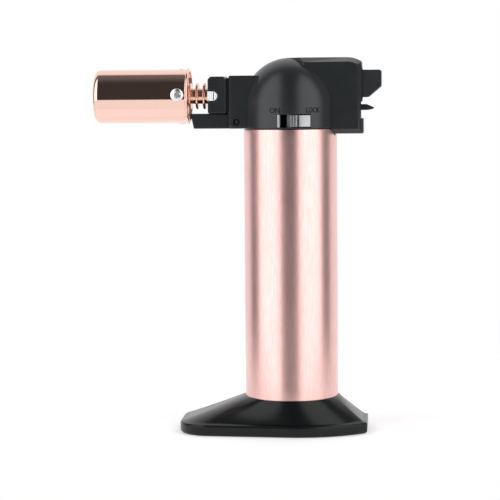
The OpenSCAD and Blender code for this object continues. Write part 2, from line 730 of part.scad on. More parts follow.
// Trigger: finger pad, stop flange and the two ramp rails that lift the valve stem
module trigger() color([0.05, 0.055, 0.06]) {
    z0 = trigger_z;
    z1 = trigger_z + trigger_h;
    x1 = head_rear + trigger_out;
    slab(-trigger_half, trigger_half) polygon([[carriage_x, z0], [x1 - 5.2, z0],
        [x1, z0 + 4.4], [x1, z1 - 0.6], [x1 - 0.6, z1], [carriage_x, z1]]);
    translate([carriage_x, -trigger_half - 0.8, rail_z])
        cube([head_rear - head_wall - seat_gap - carriage_x, 2 * trigger_half + 1.6,
            z1 - rail_z]);
    for (y = [-rail_out, rail_in]) slab(y, y + rail_out - rail_in)
        polygon([[-collar_r - 0.3, rail_z], [carriage_x + 1, rail_z],
            [carriage_x + 1, rail_z + 2.2], [ramp_end + 2, rail_z + 2.2],
            [ramp_end, rail_top - 0.1],
            [-collar_r - 0.3, rail_z + 0.7]]);
}

// Return spring between the ribs' seat and the trigger's flange
module trigger_spring() color([0.6, 0.6, 0.6]) translate([spring_x + 0.15, 0, spring_z])
    rotate([0, 90, 0]) coil(1.35, 0.28, 7, carriage_x - spring_x - 0.3);

// Piezo striker's body, with the contact at its nozzle end
module piezo_body() color([0.12, 0.12, 0.13]) difference() {
    union() {
        translate([piezo_x, -piezo_half, piezo_z]) cube([piezo_len, 2 * piezo_half, piezo_h]);
        rod_x(1, piezo_x - 0.8, piezo_x + 1, piezo_axis);
    }
    rod_x(plunger_r + fit, piezo_end - 9, piezo_end + 1, piezo_axis);
}

// Piezo striker's plunger, pressed by the trigger
module piezo_plunger() color([0.85, 0.85, 0.8])
    rod_x(plunger_r, piezo_end - 2.5, carriage_x - 0.1, piezo_axis);

// Gas tube from the valve's outlet to the jet's pipe
module gas_tube() color([0.75, 0.72, 0.62]) difference() {
    line = [[-6.7, outlet_z], [-14.6, outlet_z], [-14.6, pipe_z], [-24.2, pipe_z]];
    bent_rod(line, tube_r, 3);
    rod_x(outlet_r + fit, 0, -9.6, outlet_z);
    rod_x(pipe_r + fit, -20, -30, pipe_z);
}

// Pipe that carries the gas through the neck
module jet_pipe() color([0.75, 0.6, 0.28]) difference() {
    rod_x(pipe_r, -20.1, -jet_x - 2.4, pipe_z);
    rod_x(0.6, -20, -jet_x - 3, pipe_z);
}

// Gas jet on the end of the pipe
module gas_jet() color([0.75, 0.6, 0.28]) difference() {
    rod_x(jet_r, -jet_x, -jet_x - jet_len, pipe_z);
    rod_x(pipe_r + fit, -jet_x + 1, -jet_x - 2.5, pipe_z);
    rod_x(0.25, -jet_x, -jet_x - jet_len - 1, pipe_z);
}

// Finned neck between the neck block and the burner
module finned_neck() color([0.8, 0.5, 0.42]) difference() {
    union() {
        rod_x(core_r, -head_front, -mount_x - mount_t - 0.2, axis_z);
        for (i = [0 : 2])
            rod_x(fin_r, -fin_x - i * fin_pitch + fin_t / 2, -fin_x - i * fin_pitch - fin_t / 2,
                axis_z);
        rod_x(shoulder_r, -last_fin_x, -mount_x, axis_z);
        rod_x(nut_r, -mount_x - mount_t, -mount_x - mount_t - nut_t, axis_z);
    }
    rod_x(neck_bore_r, 0, -mount_x - 20, axis_z);
}

// Burner mount: a cup that centres the burner tube and takes the shroud's screws
module burner_mount() color([0.6, 0.6, 0.6]) nose(mount_x) difference() {
    cylinder(h = 7.6, r = shroud_in - fit);
    translate([0, 0, mount_t]) difference() {
        cylinder(h = 8, r = shroud_in - 1.7);
        cylinder(h = 2, r = burner_in - fit);
    }
    translate([0, 0, mount_t]) cylinder(h = 8, r = burner_r - 2.2);
    translate([0, 0, -1]) cylinder(h = 4, r = core_r + fit);
    for (i = [0 : 5]) rotate([0, 0, 60 * i]) translate([(shroud_in + burner_r) / 2 - 0.9, 0, -1])
        cylinder(h = 4, r = 0.9, $fn = 24);
    for (a = shroud_turns) rotate([0, 0, a - 90])
        translate([burner_r + 0.4, 0, shroud_back + shroud_screw_at - mount_x])
        rotate([0, 90, 0]) cylinder(h = 12, r = shroud_shank_r + fit, $fn = 24);
}

// Burner tube with its air holes
module burner_tube() color([0.62, 0.6, 0.58]) nose(mount_x + mount_t) difference() {
    cylinder(h = burner_len, r = burner_r);
    translate([0, 0, -1]) cylinder(h = burner_len + 2, r = burner_in);
    for (i = [0 : 5]) rotate([0, 0, 30 + 60 * i]) translate([0, 0, 8.5]) rotate([0, 90, 0])
        cylinder(h = 12, r = 1.3, $fn = 24);
}

// Flame disc that holds the flame at the burner's mouth
module flame_disc() color([0.5, 0.48, 0.45]) nose(disc_x) difference() {
    cylinder(h = disc_t, r = burner_in - fit);
    translate([needle_z - axis_z, 0, -1]) cylinder(h = disc_t + 2, r = insulator_r + fit,
        $fn = 24);
    for (i = [1 : 5]) rotate([0, 0, 60 * i]) translate([4.2, 0, -1])
        cylinder(h = disc_t + 2, r = 1, $fn = 16);
    for (i = [0 : 5]) rotate([0, 0, 30 + 60 * i]) translate([2.3, 0, -1])
        cylinder(h = disc_t + 2, r = 0.7, $fn = 16);
}

// Shroud's side outline, moved in by d: a tube with a curled front corner
module shroud_outline(d) {
    square([shroud_r - d, shroud_len - shroud_curl]);
    square([shroud_r - shroud_curl, shroud_len - d]);
    translate([shroud_r - shroud_curl, shroud_len - shroud_curl]) circle(r = shroud_curl - d);
}

// Shroud: a spun tube, rolled in at the mouth and beaded at the back
module nozzle_shroud() color([0.86, 0.58, 0.5]) nose(shroud_back) difference() {
    rotate_extrude() difference() {
        union() {
            shroud_outline(0);
            translate([shroud_r - 0.15, bead_r]) circle(r = bead_r);
        }
        translate([0, -1]) square([shroud_in, 3]);
        shroud_outline(shroud_wall);
        square([shroud_r - shroud_curl - mouth_lip, shroud_len + 1]);
    }
    for (a = shroud_turns) rotate([0, 0, a - 90]) translate([0, 0, shroud_screw_at])
        rotate([0, 90, 0]) cylinder(h = 15, r = 1.2, $fn = 24);
}

// A screw through the shroud at an angle round the nozzle
module shroud_screw(a) color([0.85, 0.84, 0.82]) nose(shroud_back)
    rotate([0, 0, a - 90]) translate([shroud_r + 0.1, 0, shroud_screw_at]) rotate([0, 90, 0])
    screw(pan_r, 1.5, shroud_shank_r, 3, 0.7);
module shroud_screw_near() shroud_screw(shroud_turns[0]);
module shroud_screw_top() shroud_screw(shroud_turns[1]);
module shroud_screw_low() shroud_screw(shroud_turns[2]);

// Ceramic insulator of the spark electrode
module insulator() color([0.93, 0.92, 0.88]) difference() {
    rod_x(insulator_r, -insulator_x, -disc_x - disc_t - 0.6, needle_z);
    rod_x(needle_r + fit, 0, -disc_x - 30, needle_z);
}

// Spark electrode, bent towards the burner's axis
module electrode() color([0.7, 0.7, 0.7])
    wire([[-insulator_x - 0.4, needle_z], [-disc_x - disc_t - 3.4, needle_z],
        [-disc_x - disc_t - 4.4, needle_z - 1.9]], needle_r, 2 * needle_r);

// Insulated wire from the striker to the electrode
module igniter_wire() color([0.5, 0.08, 0.06]) wire([[piezo_x - 1.1, piezo_axis],
    [-8.4, piezo_axis], [-13.6, wire_z], [-jet_x - 0.6, wire_z],
    [-jet_x - 3.4, needle_z], [0.3 - insulator_x, needle_z]], 0.55, 1.5);

base_foot();
tank_sleeve();
fuel_reservoir();
fill_valve_body();
fill_valve_stem();
fill_valve_spring();
fill_valve_seal();
outlet_valve_body();
valve_stem();
valve_spring();
gland_seal();
gas_filter();
flame_ring();
head_shell_near();
head_shell_far();
head_screw_front_low();
head_screw_front_top();
head_screw_rear_low();
neck_block();
neck_lug();
lock_slider();
lock_guide();
trigger();
trigger_spring();
piezo_body();
piezo_plunger();
gas_tube();
jet_pipe();
gas_jet();
finned_neck();
burner_mount();
burner_tube();
flame_disc();
nozzle_shroud();
shroud_screw_near();
shroud_screw_top();
shroud_screw_low();
insulator();
electrode();
igniter_wire();
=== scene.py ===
import json
import math

import bmesh
import bpy
from mathutils import Matrix, Vector
from mathutils.bvhtree import BVHTree

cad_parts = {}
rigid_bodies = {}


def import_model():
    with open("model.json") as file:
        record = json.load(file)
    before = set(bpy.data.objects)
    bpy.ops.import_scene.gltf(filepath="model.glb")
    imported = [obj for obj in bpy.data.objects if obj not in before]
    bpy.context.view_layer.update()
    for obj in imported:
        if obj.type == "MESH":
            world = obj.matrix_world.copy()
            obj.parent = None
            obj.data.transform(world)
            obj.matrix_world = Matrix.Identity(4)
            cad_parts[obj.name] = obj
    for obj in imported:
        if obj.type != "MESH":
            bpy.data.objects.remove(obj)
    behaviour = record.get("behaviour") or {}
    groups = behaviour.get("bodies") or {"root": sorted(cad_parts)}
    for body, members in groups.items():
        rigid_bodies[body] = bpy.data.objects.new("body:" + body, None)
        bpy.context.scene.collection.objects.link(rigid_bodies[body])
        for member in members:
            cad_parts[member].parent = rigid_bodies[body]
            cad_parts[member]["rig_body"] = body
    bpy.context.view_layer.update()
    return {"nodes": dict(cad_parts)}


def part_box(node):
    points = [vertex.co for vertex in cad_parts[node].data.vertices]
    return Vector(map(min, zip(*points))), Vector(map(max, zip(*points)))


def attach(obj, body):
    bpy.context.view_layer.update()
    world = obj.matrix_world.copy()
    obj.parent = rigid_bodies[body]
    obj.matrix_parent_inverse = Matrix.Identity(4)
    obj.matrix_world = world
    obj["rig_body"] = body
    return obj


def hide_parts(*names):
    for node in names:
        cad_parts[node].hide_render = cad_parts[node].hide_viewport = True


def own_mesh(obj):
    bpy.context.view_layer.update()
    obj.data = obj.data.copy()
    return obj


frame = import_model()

# The looks of a bench butane torch: rose-gold tank and nozzle, black moulded head and foot.
# Everything is in metres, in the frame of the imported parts, with the nozzle towards -X.
mm = 0.001


# ---------------------------------------------------------------- camera
# A long lens, level with the nozzle and a little to the right of the torch's near side,
# turned and dipped until the image points below fall where the photograph has them.
camera_place = Vector((0.0485, -0.7925, 0.1411))
camera_turn = math.radians(4.72)
camera_dip = math.radians(4.83)
camera_roll = math.radians(-0.44)
camera_lens = 139.8
sensor_width = 36.0
frame_side = 500

camera_turning = (Matrix.Rotation(camera_turn, 4, "Z")
                  @ Matrix.Rotation(math.radians(90) - camera_dip, 4, "X")
                  @ Matrix.Rotation(camera_roll, 4, "Z"))
camera_data = bpy.data.cameras.new("camera")
camera_data.lens = camera_lens
camera_data.sensor_width = sensor_width
camera_data.sensor_fit = "AUTO"
camera_data.clip_start = 0.01
camera = bpy.data.objects.new("camera", camera_data)
camera.matrix_world = Matrix.Translation(camera_place) @ camera_turning
bpy.context.scene.collection.objects.link(camera)
bpy.context.scene.camera = camera

# Where the photograph shows each thing: edges have one number, pieces the middle of what shows.
image_points = {
    "left_edge": (92.8, None),
    "right_edge": (382.2, None),
    "top_edge": (None, 56.8),
    "bottom_edge": (None, 438.0),
    "shroud_screw": (178.0, 94.8),
    "neck_lug": (212.0, 96.7),
    "slider_thumb": (300.0, 121.5),
    "slider_guide": (278.7, 121.5),
    "word_on": (274.5, 110.5),
    "word_lock": (313.0, 110.0),
    "recess_pip": (236.5, 122.0),
    "flame_lever": (370.3, 107.0),
    "trigger_pad": (374.7, 83.3),
    "tank_tube": (291.7, 265.0),
    "foot": (274.0, 416.0),
}


# ---------------------------------------------------------------- studio
# Two tall soft boxes to the left and right of the camera, a dark gap between them that the
# metal shows as a dark band, white behind the torch, and a pale floor that keeps its shadow.
box_light = 2.15
gap_light = 0.055
top_light = 0.14
back_light = 1.0
low_light = 1.25
studio_turn = math.radians(0.5)
box_inner = (17.0, 26.0)
box_outer = (76.0, 90.0)
back_start = (108.0, 124.0)
back_rise = (0.22, 0.48)
gap_side = (0.27, 0.40)
top_start = (-0.55, 0.10)
low_start = (0.215, 0.255)
floor_front = 0.10
floor_back = 0.22
floor_side = 0.22
floor_drop = 0.2 * mm
floor_glow = 0.42

bpy.context.scene.view_settings.view_transform = "Standard"
world = bpy.data.worlds.new("studio")
bpy.context.scene.world = world
world.use_nodes = True
sky = world.node_tree
sky.nodes.clear()


def math_node(tree, operation, *values):
    """A Math node on sockets or numbers, and its result."""
    node = tree.nodes.new("ShaderNodeMath")
    node.operation = operation
    for socket, value in zip(node.inputs, values):
        if isinstance(value, (int, float)):
            socket.default_value = value
        else:
            tree.links.new(value, socket)
    return node.outputs[0]


def ease(tree, value, low, high):
    """0 below low, 1 above high, eased between them."""
    node = tree.nodes.new("ShaderNodeMapRange")
    node.interpolation_type = "SMOOTHSTEP"
    node.inputs["From Min"].default_value = low
    node.inputs["From Max"].default_value = high
    tree.links.new(value, node.inputs["Value"])
    return node.outputs["Result"]


sky_place = sky.nodes.new("ShaderNodeTexCoord")
sky_turn = sky.nodes.new("ShaderNodeMapping")
sky_turn.vector_type = "TEXTURE"
sky_turn.inputs["Rotation"].default_value = (0, 0, studio_turn)
sky_parts = sky.nodes.new("ShaderNodeSeparateXYZ")
sky.links.new(sky_place.outputs["Generated"], sky_turn.inputs["Vector"])
sky.links.new(sky_turn.outputs["Vector"], sky_parts.inputs["Vector"])
to_side, to_back, to_top = sky_parts.outputs
to_front = math_node(sky, "MULTIPLY", to_back, -1.0)
bearing = math_node(sky, "ABSOLUTE", math_node(sky, "ARCTAN2", to_side, to_front))
bearing = math_node(sky, "DEGREES", bearing)
boxes = math_node(sky, "MULTIPLY", ease(sky, bearing, *box_inner),
                  math_node(sky, "SUBTRACT", 1.0, ease(sky, bearing, *box_outer)))
aside = ease(sky, math_node(sky, "ABSOLUTE", to_side), *gap_side)
boxes = math_node(sky, "MULTIPLY", boxes, aside)
behind = ease(sky, bearing, *back_start)
behind_top = ease(sky, to_back, *back_rise)
behind = math_node(sky, "MULTIPLY", behind, behind_top)
light = math_node(sky, "ADD", math_node(sky, "MULTIPLY", boxes, box_light),
                  math_node(sky, "MULTIPLY", behind, back_light))
overhead = math_node(sky, "MULTIPLY", ease(sky, to_back, *top_start), top_light)
light = math_node(sky, "ADD", light, math_node(sky, "ADD", overhead, gap_light))
below = ease(sky, math_node(sky, "MULTIPLY", to_top, -1.0), *low_start)
light = math_node(sky, "MULTIPLY", light, math_node(sky, "SUBTRACT", 1.0, below))
light = math_node(sky, "ADD", light, math_node(sky, "MULTIPLY", below, low_light))
studio_glow = sky.nodes.new("ShaderNodeBackground")
sky.links.new(light, studio_glow.inputs["Strength"])
white_glow = sky.nodes.new("ShaderNodeBackground")
white_glow.inputs["Color"].default_value = (1, 1, 1, 1)
white_glow.inputs["Strength"].default_value = 1.0
sky_path = sky.nodes.new("ShaderNodeLightPath")
sky_mix = sky.nodes.new("ShaderNodeMixShader")
sky_out = sky.nodes.new("ShaderNodeOutputWorld")
seen_behind = math_node(sky, "MULTIPLY", sky_path.outputs["Is Glossy Ray"], behind)
seen_white = math_node(sky, "MAXIMUM", sky_path.outputs["Is Camera Ray"], seen_behind)
seen_white = math_node(sky, "MAXIMUM", sky_path.outputs["Is Transmission Ray"], seen_white)
sky.links.new(seen_white, sky_mix.inputs["Fac"])
sky.links.new(studio_glow.outputs["Background"], sky_mix.inputs[1])
sky.links.new(white_glow.outputs["Background"], sky_mix.inputs[2])
sky.links.new(sky_mix.outputs["Shader"], sky_out.inputs["Surface"])

floor_mesh = bmesh.new()
bmesh.ops.create_grid(floor_mesh, x_segments=1, y_segments=1, size=1.0)
bmesh.ops.scale(floor_mesh, verts=floor_mesh.verts,
                vec=(floor_side, (floor_back + floor_front) / 2, 1))
bmesh.ops.translate(floor_mesh, verts=floor_mesh.verts,
                    vec=(0, (floor_back - floor_front) / 2, -floor_drop))
floor_data = bpy.data.meshes.new("floor")
floor_mesh.to_mesh(floor_data)
floor_mesh.free()
floor = bpy.data.objects.new("floor", floor_data)
bpy.context.scene.collection.objects.link(floor)
floor_look = bpy.data.materials.new("floor_paper")
floor_look.use_nodes = True
paper = floor_look.node_tree
paper_shader = paper.nodes["Principled BSDF"]
paper_shader.inputs["Base Color"].default_value = (0.86, 0.86, 0.86, 1)
paper_shader.inputs["Roughness"].default_value = 0.9
paper_shader.inputs["Specular IOR Level"].default_value = 0.1
paper_path = paper.nodes.new("ShaderNodeLightPath")
paper_shader.inputs["Emission Color"].default_value = (1, 1, 1, 1)
seen_paper = math_node(paper, "MAXIMUM", paper_path.outputs["Is Camera Ray"],
                       paper_path.outputs["Is Glossy Ray"])
seen_paper = math_node(paper, "MAXIMUM", paper_path.outputs["Is Transmission Ray"], seen_paper)
paper.links.new(math_node(paper, "MULTIPLY", seen_paper, floor_glow),
                paper_shader.inputs["Emission Strength"])
floor_data.materials.append(floor_look)


# ---------------------------------------------------------------- tank
# The gas tank's casing: a drawn aluminium tube, satin brushed along its length and anodised
# rose gold. It stands in the foot's collar, and the head plugs into its top.
rim_round = 0.25 * mm
tank_wall = 1.0 * mm
tank_rows = 40
tank_low, tank_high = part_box("tank_sleeve")
tank_radius = tank_high.x
tank_bore = tank_radius - tank_wall


def arc(center, radius, start, end, steps):
    """Points of radius and height on an arc between two angles in degrees."""
    turns = [math.radians(start + (end - start) * i / steps) for i in range(steps + 1)]
    return [(center[0] + radius * math.cos(a), center[1] + radius * math.sin(a)) for a in turns]


def piece_of(name, mesh):
    """An object at the origin from a bmesh, with its faces turned outwards and smooth."""
    bmesh.ops.remove_doubles(mesh, verts=mesh.verts, dist=1e-7)
    bmesh.ops.recalc_face_normals(mesh, faces=mesh.faces)
    data = bpy.data.meshes.new(name)
    mesh.to_mesh(data)
    mesh.free()
    data.shade_smooth()
    piece = bpy.data.objects.new(name, data)
    bpy.context.scene.collection.objects.link(piece)
    return piece


def turned(name, outline, steps=128, turn=Matrix.Identity(4), closed=True, sharp=30.0):
    """A piece spun about Z from an outline of radius and height, then put in place by turn."""
    mesh = bmesh.new()
    line = [mesh.verts.new((r, 0, h)) for r, h in outline]
    ends = line[1:] + line[:1] if closed else line[1:]
    edges = [mesh.edges.new(pair) for pair in zip(line, ends)]
    bmesh.ops.spin(mesh, geom=line + edges, axis=(0, 0, 1), cent=(0, 0, 0),
                   angle=math.tau, steps=steps, use_merge=True, use_duplicate=False)
    bmesh.ops.transform(mesh, matrix=turn, verts=mesh.verts)
    piece = piece_of(name, mesh)
    piece.data.set_sharp_from_angle(angle=math.radians(sharp))
    return piece


def look(name, base, roughness, metallic=0.0, specular=0.5):
    """A material with its Principled shader set, and its node tree."""
    material = bpy.data.materials.new(name)
    material.use_nodes = True
    shader = material.node_tree.nodes["Principled BSDF"]
    shader.inputs["Base Color"].default_value = (*base, 1)
    shader.inputs["Roughness"].default_value = roughness
    shader.inputs["Metallic"].default_value = metallic
    shader.inputs["Specular IOR Level"].default_value = specular
    return material, material.node_tree, shader


def grain(tree, scale, stretch=(1, 1, 1), detail=3.0):
    """Noise on the piece's own coordinates, in cells per metre, drawn out by stretch."""
    place = tree.nodes.new("ShaderNodeTexCoord")
    mapping = tree.nodes.new("ShaderNodeMapping")
    mapping.inputs["Scale"].default_value = stretch
    noise = tree.nodes.new("ShaderNodeTexNoise")
    noise.inputs["Scale"].default_value = scale
    noise.inputs["Detail"].default_value = detail
    tree.links.new(place.outputs["Object"], mapping.inputs["Vector"])
    tree.links.new(mapping.outputs["Vector"], noise.inputs["Vector"])
    return noise.outputs["Fac"]


def vary(tree, value, socket, low, high):
    """A socket's number, from low to high as the noise goes from 0.3 to 0.7."""
    node = tree.nodes.new("ShaderNodeMapRange")
    node.inputs["From Min"].default_value = 0.3
    node.inputs["From Max"].default_value = 0.7
    node.inputs["To Min"].default_value = low
    node.inputs["To Max"].default_value = high
    tree.links.new(value, node.inputs["Value"])
    tree.links.new(node.outputs["Result"], socket)


def tint(tree, value, socket, first, second):
    """A socket's colour, from first to second as the noise goes from 0.3 to 0.7."""
    ramp = tree.nodes.new("ShaderNodeValToRGB")
    ramp.color_ramp.elements[0].position = 0.3
    ramp.color_ramp.elements[1].position = 0.7
    ramp.color_ramp.elements[0].color = (*first, 1)
    ramp.color_ramp.elements[1].color = (*second, 1)
    tree.links.new(value, ramp.inputs["Fac"])
    tree.links.new(ramp.outputs["Color"], socket)


def relief(tree, shader, value, height, strength=1.0):
    """Bump on a shader from a noise, with its height in metres."""
    bump = tree.nodes.new("ShaderNodeBump")
    bump.inputs["Distance"].default_value = height
    bump.inputs["Strength"].default_value = strength
    tree.links.new(value, bump.inputs["Height"])
    tree.links.new(bump.outputs["Normal"], shader.inputs["Normal"])


rose_satin, tree, shader = look("rose_satin", (0.90, 0.57, 0.535), 0.30, 1.0)
brushing = grain(tree, 2400, (1, 1, 0.08), 4.0)
clouds = grain(tree, 55, (1, 1, 0.35))
tint(tree, brushing, shader.inputs["Base Color"], (0.84, 0.51, 0.475), (0.95, 0.615, 0.59))
vary(tree, clouds, shader.inputs["Roughness"], 0.28, 0.32)
relief(tree, shader, brushing, 4.0e-6)

tank_rings = [(tank_radius, tank_low.z + (tank_high.z - tank_low.z) * i / tank_rows)
              for i in range(1, tank_rows)]
tank_tube = turned("tank_tube", [
    *arc((tank_radius - rim_round, tank_low.z + rim_round), rim_round, -90, 0, 4), *tank_rings,
    *arc((tank_radius - rim_round, tank_high.z - rim_round), rim_round, 0, 90, 4),
    *arc((tank_bore + rim_round, tank_high.z - rim_round), rim_round, 90, 180, 4),
    *arc((tank_bore + rim_round, tank_low.z + rim_round), rim_round, 180, 270, 4),
], steps=192)
tank_tube.data.materials.append(rose_satin)
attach(tank_tube, "torch")
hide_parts("tank_sleeve")


# ---------------------------------------------------------------- foot
# One hollow injection moulding in gloss black: an upright edge, a crease, then slopes that
# rise on straight lines to a round collar around the tank. It is open underneath, with a rib
# along its middle and a round well for the filling valve.
foot_low, foot_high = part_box("base_foot")
foot_taper = 42 * mm
foot_taper_x = 2 * mm
foot_corner = 13 * mm
foot_corner_half = 20.5 * mm
foot_edge_high = 4.4 * mm
foot_edge_round = 0.7 * mm
foot_chamfer = 0.8 * mm
crease_in = 1.8 * mm
crease_high = 4.9 * mm
foot_sag = 0.15 * mm
collar_out = 0.6 * mm
collar_fit = 0.05 * mm
foot_wall = 2.4 * mm
well_radius = 11.5 * mm
well_high = 4.4 * mm
port_radius = 6.6 * mm
foot_edge_lean = 0.08 * mm
foot_edge_step = 0.1 * mm
collar_round_high = 0.12 * mm
collar_round_in = (0.02 * mm, 0.16 * mm)
bay_cut = 1 * mm
bay_roof = 1 * mm


def baked(piece):
    """A piece with its modifiers made part of its mesh."""
    bpy.context.view_layer.update()
    graph = bpy.context.evaluated_depsgraph_get()
    data = bpy.data.meshes.new_from_object(piece.evaluated_get(graph))
    piece.modifiers.clear()
    piece.data = data
    return piece


def carved(piece, cutters):
    """A piece with cutters taken out of it by exact booleans, which are then removed."""
    for cutter in cutters:
        cut = piece.modifiers.new("cut", "BOOLEAN")
        cut.operation = "DIFFERENCE"
        cut.solver = "EXACT"
        cut.object = cutter
    baked(piece)
    for cutter in cutters:
        bpy.data.objects.remove(cutter)
    piece.data.shade_smooth()
    piece.data.set_sharp_from_angle(angle=math.radians(32))
    return piece


def foot_outline(inset):
    """The foot's outline, moved in: a lens behind, drawn out to two round front corners."""
    behind = Vector((foot_taper_x, foot_high.y - foot_taper))
    corner = Vector((foot_corner + foot_low.x, foot_corner_half - foot_corner))
    between = behind - corner
    tangent = math.degrees(math.atan2(between.y, between.x)
                           + math.acos((foot_corner - foot_taper) / between.length))
    rear = math.degrees(math.acos((foot_high.x - inset - behind.x) / (foot_taper - inset)))
    half = arc(behind, foot_taper - inset, rear, tangent, 40)
    other = arc(corner, foot_corner - inset, tangent, 180, 36)
    half += [Vector(half[-1]).lerp(Vector(other[0]), i / 40) for i in range(1, 40)] + other
    front = half[-1]
    half += [(front[0], front[1] * (1 - i / 12)) for i in range(1, 12)]
    rim = [(half[0][0], half[0][1] * i / 16) for i in range(1, 16)]
    half = [Vector(p) for p in rim + half]
    middle = [Vector((half[0].x, 0)), Vector((front[0], 0))]
    mirrored = [Vector((p.x, -p.y)) for p in reversed(half)]
    return [middle[0]] + half + [middle[1]] + mirrored


def lofted(name, rings, closed=False):
    """A piece extruded from ring to ring of points, which comes round or has flat ends."""
    mesh = bmesh.new()
    line = [mesh.verts.new(p) for p in rings[0]]
    loop = [mesh.edges.new(pair) for pair in zip(line, line[1:] + line[:1])]
    first = loop
    for ring in rings[1:] + (rings[:1] if closed else []):
        grown = set(bmesh.ops.extrude_edge_only(mesh, edges=loop)["geom"])
        line = [next(e.other_vert(v) for e in v.link_edges if e.other_vert(v) in grown)
                for v in line]
        for v, place in zip(line, ring):
            v.co = place
        loop = [mesh.edges.get(pair) for pair in zip(line, line[1:] + line[:1])]
    if not closed:
        for end in (first, loop):
            bmesh.ops.contextual_create(mesh, geom=end)
    return piece_of(name, mesh)


def level(outline, height):
    """An outline's points at one height."""
    return [Vector((p.x, p.y, height)) for p in outline]


def on_circle(outline, radius, height):
    """An outline's points drawn straight in or out to a circle, at one height."""
    return [Vector((*(p.normalized() * radius), height)) for p in outline]


foot_crease = foot_outline(crease_in)
collar_radius = tank_radius + collar_out
foot_rings = [level(foot_outline(inset), height) for inset, height in (
    (foot_chamfer, 0), (foot_edge_lean, foot_chamfer - foot_edge_step),
    (0, foot_chamfer + foot_edge_step))]
for i in range(7):
    t = i / 6
    in_by = foot_edge_round * t * t
    foot_rings.append(level(foot_outline(in_by), foot_edge_high - foot_edge_round * (1 - t) ** 2
                            + in_by * (crease_high - foot_edge_high) / crease_in))
for i in range(17):
    t = i / 16
    height = crease_high + t * (foot_high.z - crease_high) - 4 * foot_sag * t * (1 - t)
    foot_rings.append([Vector((*p.lerp(p.normalized() * collar_radius, t), height))
                       for p in foot_crease])
foot_rings[-1] = on_circle(foot_crease, collar_radius - collar_round_in[0],
                           foot_high.z - collar_round_high)
foot_rings += [on_circle(foot_crease, radius, height) for radius, height in (
    (collar_radius - collar_round_in[1], foot_high.z), (tank_radius + collar_fit, foot_high.z),
    (tank_radius + collar_fit, tank_low.z), (port_radius, tank_low.z), (port_radius, well_high),
    (well_radius, well_high), (well_radius, 0))]

foot_black, tree, shader = look("foot_gloss_black", (0.006, 0.007, 0.0075), 0.25, 0.0, 0.28)
vary(tree, grain(tree, 40), shader.inputs["Roughness"], 0.22, 0.27)
relief(tree, shader, grain(tree, 900), 1.0e-6)

foot = lofted("foot", foot_rings, closed=True)
foot_bays = []
for side in (-1, 1):
    bay = [p for p in foot_outline(foot_wall) if p.y * side >= foot_wall / 2]
    rib = side * foot_wall / 2
    bay = [Vector((bay[0].x, rib))] + bay + [Vector((bay[-1].x, rib))]
    bay = lofted("bay", [level(bay, -bay_cut), level(bay, foot_edge_high - bay_roof)])
    post = turned("post", [(0, -2 * bay_cut), (well_radius + foot_wall, -2 * bay_cut),
                           (well_radius + foot_wall, foot_edge_high), (0, foot_edge_high)],
                  96, closed=False)
    foot_bays.append(carved(bay, [post]))
carved(foot, foot_bays)
foot.data.materials.clear()
foot.data.materials.append(foot_black)
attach(foot, "torch")
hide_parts("base_foot")


# ---------------------------------------------------------------- head shells
# Two clamshell mouldings in spark-textured black nylon, closed with screws from the far side.
# The parting line runs over the top, along the middle of the dome and down the front.
shell_edge_round = 0.4 * mm
crown_low = 150.5 * mm
crown_high = 151.9 * mm
crown_front = 3 * mm
crown_back = 6 * mm
crown_half = 7.5 * mm
crown_in = 0.39
merge_within = 2e-6
spike_angle = 0.45
room_share = 0.45
least_share = 0.35
stray_share = 0.45
carry_on_slope = 0.35

head_black, tree, shader = look("head_textured_black", (0.0125, 0.015, 0.017), 0.32, 0.0, 0.55)
texture = grain(tree, 1700, detail=2.0)
tint(tree, grain(tree, 120), shader.inputs["Base Color"],
     (0.0105, 0.013, 0.015), (0.0145, 0.017, 0.019))
vary(tree, texture, shader.inputs["Roughness"], 0.28, 0.35)
relief(tree, shader, texture, 5.0e-6)


def edge_room(edge):
    """How far an edge's two faces reach away from it, past the edges that carry it on."""
    start, end = (v.co for v in edge.verts)
    along = (end - start).normalized()
    room = 1.0
    for face in edge.link_faces:
        for v in face.verts:
            if v in edge.verts:
                continue
            reach = (v.co - start).dot(along)
            past = max(-reach, reach - (end - start).length, 0.0)
            aside = ((v.co - start) - along * reach).length
            if aside > carry_on_slope * past:
                room = min(room, aside)
    return room


def crowded(edge):
    """Whether another edge leaves one of its ends within spike_angle, in radians."""
    for v in edge.verts:
        along = edge.other_vert(v).co - v.co
        for other in v.link_edges:
            if other is not edge and along.angle(other.other_vert(v).co - v.co) < spike_angle:
                return True
    return False


